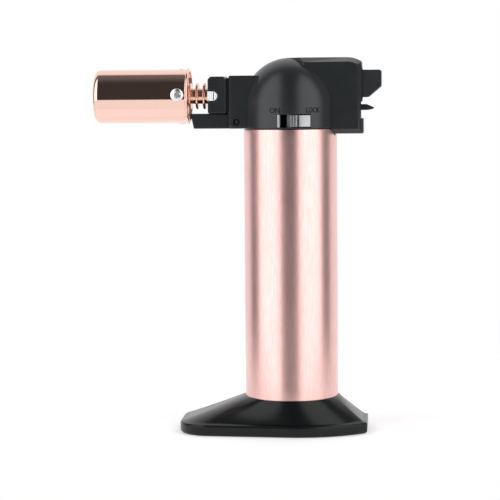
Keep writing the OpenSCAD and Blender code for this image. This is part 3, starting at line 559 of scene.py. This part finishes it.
def moulding(name, node, rounding, steps=3, sharp=24.0, flat=0.3, shape=None):
    """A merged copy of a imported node, riding where it rides, with its outer edges rounded.

    An edge between narrow or crowded faces stays sharp, and what a rounding throws past the
    packed surface goes back onto it."""
    mesh = bmesh.new()
    mesh.from_mesh(frame["nodes"][node].data)
    if shape:
        for v in mesh.verts:
            v.co = shape(v.co)
    packed = BVHTree.FromBMesh(mesh)
    bmesh.ops.remove_doubles(mesh, verts=mesh.verts, dist=merge_within)
    bmesh.ops.dissolve_limit(mesh, angle_limit=math.radians(flat), verts=mesh.verts,
                             edges=mesh.edges, use_dissolve_boundaries=False)
    weights = mesh.edges.layers.float.new("bevel_weight_edge")
    for edge in mesh.edges:
        if edge.is_manifold and edge.calc_face_angle() > math.radians(sharp):
            room = room_share * edge_room(edge)
            if edge.is_convex and room > least_share * rounding and not crowded(edge):
                edge[weights] = min(rounding, room) / rounding
            else:
                edge.smooth = False
    data = bpy.data.meshes.new(name)
    mesh.to_mesh(data)
    mesh.free()
    piece = bpy.data.objects.new(name, data)
    bpy.context.scene.collection.objects.link(piece)
    soft = piece.modifiers.new("rounded_edges", "BEVEL")
    soft.width = rounding
    soft.segments = steps
    soft.limit_method = "WEIGHT"
    soft.use_clamp_overlap = False
    baked(piece)
    low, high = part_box(node)
    for v in piece.data.vertices:
        nearest, _, _, reach = packed.find_nearest(v.co)
        if reach > stray_share * rounding:
            v.co = nearest
        v.co = [min(max(c, least), most) for c, least, most in zip(v.co, low, high)]
    even = piece.modifiers.new("flat_faces_stay_flat", "WEIGHTED_NORMAL")
    even.keep_sharp = True
    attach(piece, frame["nodes"][node]["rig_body"])
    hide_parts(node)
    return piece


def crowned(place):
    """A vertex of the rear block, with its flat top drawn in so that its bevels lie flatter."""
    rise = min(max((place.z - crown_low) / (crown_high - crown_low), 0), 1)
    back = min(max((place.x - crown_front) / (crown_back - crown_front), 0), 1)
    if abs(place.y) > crown_half:
        return place
    return Vector((place.x, place.y * (1 - crown_in * rise * back), place.z))


head_near = moulding("head_near", "head_shell_near", shell_edge_round, shape=crowned)
head_far = moulding("head_far", "head_shell_far", shell_edge_round, shape=crowned)
for shell in (head_near, head_far):
    shell.data.materials.clear()
    shell.data.materials.append(head_black)


# ---------------------------------------------------------------- words by the slider
# ON and LOCK, raised from the mould on the dome's skirt above the slider's window. They are
# matt, so they show darker than the skirt.
word_height = 2.1 * mm
word_lift = 0.16 * mm

matt_black, tree, shader = look("matt_black", (0.004, 0.004, 0.0045), 0.6, 0.0, 0.2)
relief(tree, shader, grain(tree, 1700), 2.0e-6)


def sight(point):
    """The direction of the ray through an image point, in the scene."""
    x, y = point
    side = frame_side
    ray = Vector((x - side / 2 + camera_data.shift_x * side,
                  side / 2 - y + camera_data.shift_y * side,
                  -side * camera_lens / sensor_width))
    return (camera_turning.to_3x3() @ ray).normalized()


def finished_tree(pieces):
    """One search tree over finished pieces, in the scene's own frame."""
    bpy.context.view_layer.update()
    graph = bpy.context.evaluated_depsgraph_get()
    corners, faces = [], []
    for piece in pieces:
        solid = piece.evaluated_get(graph)
        mesh = solid.to_mesh()
        first = len(corners)
        corners += [piece.matrix_world @ v.co for v in mesh.vertices]
        faces += [[first + v for v in face.vertices] for face in mesh.polygons]
        solid.to_mesh_clear()
    return BVHTree.FromPolygons(corners, faces), corners


def place_on(point, carriers):
    """Where the ray through an image point meets what carries a piece, and the surface's normal."""
    tree, corners = finished_tree(carriers)
    direction = sight(point)
    place, normal, _, _ = tree.ray_cast(camera_place, direction)
    if place is None:
        near = min(corners, key=lambda c: (c - camera_place).cross(direction).length)
        place, normal, _, _ = tree.find_nearest(near)
    return place, normal


def word_on_dome(name, text, width):
    """A raised word wrapped round the dome's skirt, with its middle at its image point."""
    letters = bpy.data.curves.new(name, "FONT")
    letters.body = text
    letters.align_x = "CENTER"
    letters.align_y = "CENTER"
    letters.size = 1.0
    letters.resolution_u = 3
    draft = bpy.data.objects.new(name + "_draft", letters)
    bpy.context.scene.collection.objects.link(draft)
    bpy.context.view_layer.update()
    data = bpy.data.meshes.new_from_object(draft)
    bpy.data.objects.remove(draft)
    mesh = bmesh.new()
    mesh.from_mesh(data)
    bpy.data.meshes.remove(data)
    bmesh.ops.remove_doubles(mesh, verts=mesh.verts, dist=1e-4)
    bmesh.ops.triangulate(mesh, faces=mesh.faces)
    xs = [v.co.x for v in mesh.verts]
    ys = [v.co.y for v in mesh.verts]
    raised = bmesh.ops.extrude_face_region(mesh, geom=mesh.faces[:])
    tops = [v for v in raised["geom"] if isinstance(v, bmesh.types.BMVert)]
    bmesh.ops.translate(mesh, verts=tops, vec=(0, 0, 1))
    middle, normal = place_on(image_points[name], [head_near])
    radius = math.hypot(middle.x, middle.y)
    bearing_of_word = math.atan2(middle.y, middle.x)
    for v in mesh.verts:
        along = (v.co.x - (min(xs) + max(xs)) / 2) / (max(xs) - min(xs)) * width
        up = (v.co.y - (min(ys) + max(ys)) / 2) / (max(ys) - min(ys)) * word_height
        depth = word_lift if v.co.z > 0.5 else -word_lift
        turn = bearing_of_word + along / radius
        v.co = ((radius + depth) * math.cos(turn), (radius + depth) * math.sin(turn),
                middle.z + up)
    word = piece_of(name, mesh)
    word.data.set_sharp_from_angle(angle=math.radians(40))
    word.data.materials.append(matt_black)
    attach(word, "torch")
    return word


word_on = word_on_dome("word_on", "ON", 4.2 * mm)
word_lock = word_on_dome("word_lock", "LOCK", 6.0 * mm)


# ---------------------------------------------------------------- recess in the front block
# A moulded pip in the blind end of the lower front screw's bore, on the near side. Behind it a
# near-black matt disc stands for the depth of the bore: painted shade.
pip_radius = 0.62 * mm
pip_rise = 0.55 * mm
recess_radius = 1.45 * mm
pip_round = 0.15 * mm
pip_sink = 0.1 * mm
recess_shade_thick = 0.2 * mm


def disc_outline(radius, height, rounding):
    """The outline of a button with a rounded upper rim, from its middle and back to it."""
    return [(0, 0), (radius, 0), *arc((radius - rounding, height - rounding), rounding, 0, 90, 4),
            (0, height)]


recess_place, _ = place_on(image_points["recess_pip"], [head_near])
pip_turn = (Matrix.Translation((recess_place.x, recess_place.y + pip_sink, recess_place.z))
            @ Matrix.Rotation(math.radians(90), 4, "X"))
recess_pip = turned("recess_pip", disc_outline(pip_radius, pip_rise, pip_round), 32, pip_turn,
                    closed=False)
recess_pip.data.materials.append(head_black)
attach(recess_pip, "torch")
# A near-black disc on the bore's floor: painted shade for the depth of the hole.
recess_floor = turned("recess_floor", [
    (0, 0), (recess_radius, 0), (recess_radius, recess_shade_thick), (0, recess_shade_thick)],
    48, pip_turn, closed=False)
recess_floor.data.materials.append(matt_black)
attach(recess_floor, "torch")


# ---------------------------------------------------------------- lock slider
# A nickel-plated thumb piece with three ribs on a black carrier plate, which turns round the
# valve inside the skirt, and the nickel strip that lines the window's nozzle end.
nickel, tree, shader = look("nickel_plate", (0.40, 0.41, 0.42), 0.38, 1.0)
vary(tree, grain(tree, 300), shader.inputs["Roughness"], 0.32, 0.42)
relief(tree, shader, grain(tree, 2500, (1, 1, 0.1)), 0.8e-6)

# The carrier plate is black; its mid grey is painted light that lifts the shade inside the skirt's
# window.
carrier_painted_light, tree, shader = look("carrier_painted_light", (0.20, 0.205, 0.21), 0.5)
relief(tree, shader, grain(tree, 2000), 4.0e-6)

plate_reach = 18.45 * mm
slider_thumb = moulding("slider_thumb", "lock_slider", 0.12 * mm, 2)
slider_thumb.data.materials.clear()
slider_thumb.data.materials.append(nickel)
slider_thumb.data.materials.append(carrier_painted_light)
for face in slider_thumb.data.polygons:
    middle = sum((slider_thumb.data.vertices[v].co for v in face.vertices), Vector())
    middle /= len(face.vertices)
    if math.hypot(middle.x, middle.y) < plate_reach:
        face.material_index = 1

slider_guide = moulding("slider_guide", "lock_guide", 0.15 * mm, 2)
slider_guide.data.materials.clear()
slider_guide.data.materials.append(nickel)


# ---------------------------------------------------------------- neck block and lug
# The block clamps the nozzle's neck against the head, in the head's plastic, and a satin nickel
# cross lug shows in its slot on each side. Thin near-black slabs fill its joints to the head,
# around the neck, and to the chin below: painted shade for the gaps there.
joint_shade_low = (-25.63 * mm, -7.15 * mm, 130.5 * mm)
joint_shade_high = (-24.52 * mm, 7.15 * mm, 144.4 * mm)
gasket_bore = 4.25 * mm
joint_shade_axis = 137.1 * mm
joint_shade_cut = (20 * mm, 30 * mm)
chin_shade_low = (-32.6 * mm, -7.15 * mm, 129.92 * mm)
chin_shade_high = (-25.7 * mm, 7.15 * mm, 130.18 * mm)

block = moulding("neck_clamp", "neck_block", 0.35 * mm)
block.data.materials.clear()
block.data.materials.append(head_black)


def slab(name, low, high):
    """A plain block between two opposite corners."""
    mesh = bmesh.new()
    bmesh.ops.create_cube(mesh, size=1.0)
    for v in mesh.verts:
        v.co = [least if c < 0 else most for c, least, most in zip(v.co, low, high)]
    return piece_of(name, mesh)


# Near-black slabs in the joints to the head, around the neck and to the chin: painted shade for the
# gaps.
joint_shade = carved(slab("neck_gasket", joint_shade_low, joint_shade_high), [turned("gasket_bore", [
    (0, joint_shade_cut[0]), (gasket_bore, joint_shade_cut[0]), (gasket_bore, joint_shade_cut[1]),
    (0, joint_shade_cut[1])], 64,
    Matrix.Translation((0, 0, joint_shade_axis)) @ Matrix.Rotation(math.radians(-90), 4, "Y"),
    closed=False)])
joint_shade.data.materials.clear()
chin_shade = slab("neck_gasket_sole", chin_shade_low, chin_shade_high)
for shade_slab in (joint_shade, chin_shade):
    shade_slab.data.materials.append(matt_black)
    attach(shade_slab, "torch")

satin_nickel, tree, shader = look("satin_nickel", (0.97, 0.965, 0.96), 0.72, 1.0)
vary(tree, grain(tree, 500), shader.inputs["Roughness"], 0.67, 0.77)
relief(tree, shader, grain(tree, 3000), 1.0e-6)

neck_lug = moulding("neck_lug_pin", "neck_lug", 0.4 * mm)
neck_lug.data.materials.clear()
neck_lug.data.materials.append(satin_nickel)


# ---------------------------------------------------------------- trigger and flame lever
# The trigger is a hollow finger pad in smooth black plastic that slides into the head; the
# flame ring's flat lever sticks out of the window below it.
trigger_black, tree, shader = look("trigger_black", (0.017, 0.019, 0.021), 0.36)
vary(tree, grain(tree, 90), shader.inputs["Roughness"], 0.32, 0.40)
relief(tree, shader, grain(tree, 1500), 3.0e-6)

trigger_pad = moulding("trigger_pad", "trigger", 0.5 * mm)
flame_lever = moulding("flame_lever", "flame_ring", 0.4 * mm)
for lever in (trigger_pad, flame_lever):
    lever.data.materials.clear()
    lever.data.materials.append(trigger_black)


# ---------------------------------------------------------------- nozzle shroud
# A spun and polished tube in rose-gold plate: its back edge is beaded, its mouth is rolled in,
# and three screws hold it on the burner's mount.
shroud_low, shroud_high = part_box("nozzle_shroud")
nozzle_axis = (shroud_low.z + shroud_high.z) / 2
shroud_back = -shroud_high.x
shroud_length = shroud_high.x - shroud_low.x
shroud_radius = 10.9 * mm
shroud_wall = 0.8 * mm
mouth_curl = 2.3 * mm
mouth_lip = 0.6 * mm
lip_round = 0.4 * mm
back_edge = 0.1 * mm
bead = 0.6 * mm
bead_gap = 0.03 * mm


def nozzle_turn(back):
    """Turns a piece's height to run along the nozzle, from a distance behind its mouth."""
    return Matrix.Translation((-back, 0, nozzle_axis)) @ Matrix.Rotation(math.radians(-90), 4, "Y")


rose_mirror, tree, shader = look("rose_mirror", (0.93, 0.63, 0.54), 0.06, 1.0)
vary(tree, grain(tree, 130), shader.inputs["Roughness"], 0.045, 0.085)
relief(tree, shader, grain(tree, 35, detail=1.0), 6.0e-6)

curl_at = (shroud_radius - mouth_curl, shroud_length - mouth_curl)
shroud = turned("shroud", [
    (shroud_radius - shroud_wall, back_edge),
    *arc((shroud_radius, bead), bead, -115, 85, 12),
    (shroud_radius, 2 * bead + bead_gap),
    *arc(curl_at, mouth_curl, 0, 90, 14),
    *arc((shroud_radius - mouth_curl - mouth_lip + lip_round, shroud_length - lip_round),
         lip_round, 90, 270, 8),
    *arc(curl_at, mouth_curl - shroud_wall, 90, 0, 10),
], 192, nozzle_turn(shroud_back))
shroud.data.materials.append(rose_mirror)
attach(shroud, "torch")
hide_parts("nozzle_shroud")


# ---------------------------------------------------------------- neck with fins
# A turned neck with three cooling fins, polished and plated like the shroud.
rose_turned, tree, shader = look("rose_turned", (0.94, 0.58, 0.44), 0.20, 1.0)
vary(tree, grain(tree, 400), shader.inputs["Roughness"], 0.16, 0.24)
relief(tree, shader, grain(tree, 900), 1.5e-6)

neck_low, neck_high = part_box("finned_neck")
fin_radius = (neck_high.z - neck_low.z) / 2
core_radius = 3.2 * mm
fin_thick = 0.95 * mm
fin_round = 0.3 * mm
fin_places = (35.0 * mm, 37.95 * mm, 40.9 * mm)
neck_bore = 2.5 * mm
step_radius = core_radius + 1.0 * mm
step_end = 41.9 * mm
step_edge = 0.05 * mm
flange_radius = core_radius + 1.3 * mm
flange_back = 43.1 * mm
neck_front = -neck_low.x
neck_back = -neck_high.x

neck_line = [(neck_bore, neck_back), (core_radius, neck_back)]
for at in fin_places:
    low, high = at - fin_thick / 2, at + fin_thick / 2
    neck_line += [(core_radius, low)]
    neck_line += arc((fin_radius - fin_round, low + fin_round), fin_round, -90, 0, 4)
    neck_line += arc((fin_radius - fin_round, high - fin_round), fin_round, 0, 90, 4)
    neck_line += [(core_radius, high)]
neck_line += [(step_radius, fin_places[2] + fin_thick / 2 + step_edge),
              (step_radius, step_end - step_edge), (core_radius, step_end),
              (core_radius, flange_back), (flange_radius, flange_back),
              (flange_radius, neck_front), (neck_bore, neck_front)]
finned_neck = turned("finned_neck_turned", neck_line, 96, nozzle_turn(0))
finned_neck.data.materials.append(rose_turned)
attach(finned_neck, "torch")
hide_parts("finned_neck")


# ---------------------------------------------------------------- shroud screws
# Nickel-plated pan-head screws with a cross recess, one on the near side and two behind.
pan_radius = 2.6 * mm
pan_rise = 1.1 * mm
pan_edge = 0.4 * mm
pan_under = 0.1 * mm
pan_seat = 0.1 * mm
pan_crown = ((0.70, 0.80), (0.42, 0.95))
pan_shank = 0.9 * mm
pan_reach = 3.0 * mm
screw_back = shroud_back + 4.2 * mm
cross_long = 1.85 * mm
cross_wide = 0.42 * mm
cross_deep = 0.8 * mm
cross_clear = 1.0 * mm
cross_taper = 0.55
cross_turn = 20


def cross_cutters(turn, high):
    """Two tapered bars that cut a cross recess, with its top at high."""
    bars = []
    for spin in (0, 90):
        mesh = bmesh.new()
        bmesh.ops.create_cube(mesh, size=1.0)
        for v in mesh.verts:
            narrow = cross_taper if v.co.z < 0 else 1.0
            v.co.x *= 2 * cross_long * narrow
            v.co.y *= 2 * cross_wide
            v.co.z = high - cross_deep if v.co.z < 0 else high + cross_clear
        spun = Matrix.Rotation(math.radians(spin + cross_turn), 4, "Z")
        bmesh.ops.transform(mesh, matrix=turn @ spun, verts=mesh.verts)
        bars.append(piece_of("cross_bar", mesh))
    return bars


screw_nickel, tree, shader = look("screw_nickel", (0.86, 0.86, 0.87), 0.30, 1.0)
vary(tree, grain(tree, 700), shader.inputs["Roughness"], 0.24, 0.38)
relief(tree, shader, grain(tree, 2000), 1.5e-6)

pan_line = [(0, -pan_reach), (pan_shank, -pan_reach), (pan_shank, 0),
            (pan_radius - pan_under, 0),
            *arc((pan_radius - pan_edge, pan_edge), pan_edge, -10, 50, 5),
            *[(pan_radius * out, pan_rise * up) for out, up in pan_crown], (0, pan_rise)]
screw_angles = {"shroud_screw_near": 3, "shroud_screw_top": 123, "shroud_screw_low": 243}
shroud_screws = {}
for node, angle in screw_angles.items():
    turn = (nozzle_turn(screw_back) @ Matrix.Rotation(math.radians(angle - 90), 4, "Z")
            @ Matrix.Translation((shroud_radius + pan_seat, 0, 0))
            @ Matrix.Rotation(math.radians(90), 4, "Y"))
    screw = turned(node + "_pan", pan_line, 48, turn, closed=False)
    carved(screw, cross_cutters(turn, pan_rise))
    screw.data.materials.clear()
    screw.data.materials.append(screw_nickel)
    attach(screw, "torch")
    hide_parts(node)
    shroud_screws[node] = screw


# ---------------------------------------------------------------- head screws
# Blackened self-tapping screws, sunk in the far shell.
black_steel, tree, shader = look("black_steel", (0.035, 0.035, 0.037), 0.34, 0.9)
vary(tree, grain(tree, 600), shader.inputs["Roughness"], 0.28, 0.45)
relief(tree, shader, grain(tree, 1800), 3.0e-6)
for node in ("head_screw_front_low", "head_screw_front_top", "head_screw_rear_low"):
    screw = moulding(node + "_turned", node, 0.15 * mm, 2, 40)
    screw.data.materials.clear()
    screw.data.materials.append(black_steel)


# ---------------------------------------------------------------- burner
# Inside the shroud: a mount with air holes, plated like the neck, then the burner tube and the
# pierced flame disc, in steel that the heat has coloured towards the mouth.
heat_from = 45 * mm
heat_over = 30 * mm
heat_mottle = 0.3

heated_steel, tree, shader = look("heated_steel", (0.42, 0.38, 0.34), 0.32, 1.0)
heat_place = tree.nodes.new("ShaderNodeTexCoord")
heat_parts = tree.nodes.new("ShaderNodeSeparateXYZ")
tree.links.new(heat_place.outputs["Object"], heat_parts.inputs["Vector"])
heat = math_node(tree, "MULTIPLY_ADD", heat_parts.outputs["X"],
                 -1 / heat_over, -heat_from / heat_over)
heat = math_node(tree, "ADD", heat, math_node(tree, "MULTIPLY", grain(tree, 150), heat_mottle))
tint(tree, heat, shader.inputs["Base Color"], (0.50, 0.47, 0.43), (0.34, 0.24, 0.17))
vary(tree, grain(tree, 500), shader.inputs["Roughness"], 0.25, 0.40)
relief(tree, shader, grain(tree, 1400), 2.0e-6)

for node, finish_of in (("burner_mount", rose_turned), ("burner_tube", heated_steel),
                        ("flame_disc", heated_steel)):
    part = moulding(node + "_turned", node, 0.15 * mm, 2, 40)
    part.data.materials.clear()
    part.data.materials.append(finish_of)


# ---------------------------------------------------------------- spark gap
# A bent steel electrode in a white glazed ceramic insulator, and the red wire that feeds it.
steel, tree, shader = look("bright_steel", (0.58, 0.57, 0.55), 0.28, 1.0)
vary(tree, grain(tree, 400), shader.inputs["Roughness"], 0.22, 0.36)
relief(tree, shader, grain(tree, 1500, (0.1, 1, 1)), 1.5e-6)
ceramic, tree, shader = look("glazed_ceramic", (0.80, 0.78, 0.72), 0.2)
tint(tree, grain(tree, 300), shader.inputs["Base Color"], (0.76, 0.74, 0.68), (0.83, 0.81, 0.76))
relief(tree, shader, grain(tree, 700), 2.0e-6)
red_wire, tree, shader = look("wire_jacket", (0.42, 0.03, 0.025), 0.42)
vary(tree, grain(tree, 500), shader.inputs["Roughness"], 0.36, 0.50)
relief(tree, shader, grain(tree, 1500), 3.0e-6)

spark_looks = {"insulator": (ceramic, "ceramic"), "electrode": (steel, "steel"),
               "igniter_wire": (red_wire, "wire_jacket")}
for node, (finish_of, slot_name) in spark_looks.items():
    part = moulding(node + "_finished", node, 0.12 * mm, 2, 50)
    part.data.materials.clear()
    part.data.materials.append(finish_of)


# ---------------------------------------------------------------- inner works
# What the casings hide: the reservoir and its valves, the striker and the gas line. They are
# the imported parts, each in the finish of the real piece.
brass, tree, shader = look("turned_brass", (0.78, 0.57, 0.25), 0.24, 1.0)
vary(tree, grain(tree, 500), shader.inputs["Roughness"], 0.2, 0.34)
relief(tree, shader, grain(tree, 1800, (1, 1, 0.1)), 1.5e-6)
reservoir_plastic, tree, shader = look("reservoir_plastic", (0.72, 0.72, 0.66), 0.35)
tint(tree, grain(tree, 60), shader.inputs["Base Color"], (0.70, 0.70, 0.64), (0.76, 0.76, 0.71))
relief(tree, shader, grain(tree, 500), 4.0e-6)
tube_plastic, tree, shader = look("tube_plastic", (0.62, 0.60, 0.50), 0.4)
vary(tree, grain(tree, 300), shader.inputs["Roughness"], 0.35, 0.5)
rubber, tree, shader = look("black_rubber", (0.015, 0.015, 0.015), 0.65)
relief(tree, shader, grain(tree, 1200), 6.0e-6)
felt, tree, shader = look("pressed_felt", (0.62, 0.60, 0.52), 0.9)
relief(tree, shader, grain(tree, 2500, detail=6.0), 3.0e-5)
striker_black, tree, shader = look("striker_black", (0.02, 0.02, 0.022), 0.4)
relief(tree, shader, grain(tree, 1200), 3.0e-6)

inner_looks = {
    "fuel_reservoir": reservoir_plastic, "fill_valve_body": brass, "fill_valve_stem": brass,
    "fill_valve_seal": rubber, "outlet_valve_body": brass,
    "valve_stem": steel, "gland_seal": rubber, "gas_filter": felt,
    "piezo_body": striker_black, "piezo_plunger": tube_plastic,
    "gas_tube": tube_plastic, "jet_pipe": brass, "gas_jet": brass,
}
for node, finish_of in inner_looks.items():
    data = frame["nodes"][node].data
    if not data.materials:
        data.materials.append(finish_of)
    for at in range(len(data.materials)):
        data.materials[at] = finish_of


# ---------------------------------------------------------------- springs
# Three coiled springs of bright steel wire: behind the trigger, under the outlet valve's collar
# and in the filling valve.
springs = {
    "trigger_spring": ("trigger_slide", Vector((1, 0, 0)), 7.95 * mm, 4.5 * mm),
    "valve_spring": ("stem_lift", Vector((0, 0, -1)), -127.2 * mm, 1.5 * mm),
    "fill_valve_spring": ("fill_press", Vector((0, 0, -1)), -12.7 * mm, 1.6 * mm),
}
for node, (joint, axis, fixed_end, travel) in springs.items():
    mesh = bmesh.new()
    mesh.from_mesh(frame["nodes"][node].data)
    spring = piece_of(node + "_coil", mesh)
    spring.data.set_sharp_from_angle(angle=math.radians(50))
    spring.data.materials.clear()
    spring.data.materials.append(steel)
    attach(spring, frame["nodes"][node]["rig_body"])
    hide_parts(node)
    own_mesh(spring)


# ---------------------------------------------------------------- where it shows
# Where the seen vertices of the dressed torch, and of each thing with an image point, fall in the
# frame.
seen_slack = 0.3 * mm


def image_place(place):
    """Where a place in the scene falls in the photograph's frame."""
    seen = camera_turning.to_3x3().transposed() @ (Vector(place) - camera_place)
    scale = frame_side * camera_lens / sensor_width / -seen.z
    return (frame_side / 2 + seen.x * scale - camera_data.shift_x * frame_side,
            frame_side / 2 - seen.y * scale + camera_data.shift_y * frame_side)


def shown(pieces, tree):
    """Where the vertices of some pieces that the camera sees fall in the frame."""
    _, corners = finished_tree(pieces)
    places = []
    for corner in corners:
        away = corner - camera_place
        hit, _, _, reach = tree.ray_cast(camera_place, away.normalized())
        if hit is None or reach > away.length - seen_slack:
            places.append(image_place(corner))
    return places


all_pieces = [o for o in bpy.data.objects
              if o.type == "MESH" and not o.hide_render and o is not floor]
whole_tree, _ = finished_tree(all_pieces)
outline_seen = shown(all_pieces, whole_tree)
pointed = {"shroud_screw": shroud_screws["shroud_screw_near"], "neck_lug": neck_lug,
           "slider_thumb": slider_thumb, "slider_guide": slider_guide, "word_on": word_on,
           "word_lock": word_lock, "recess_pip": recess_pip, "flame_lever": flame_lever,
           "trigger_pad": trigger_pad, "tank_tube": tank_tube, "foot": foot}
for name, piece in pointed.items():
    seen = shown([piece], whole_tree)
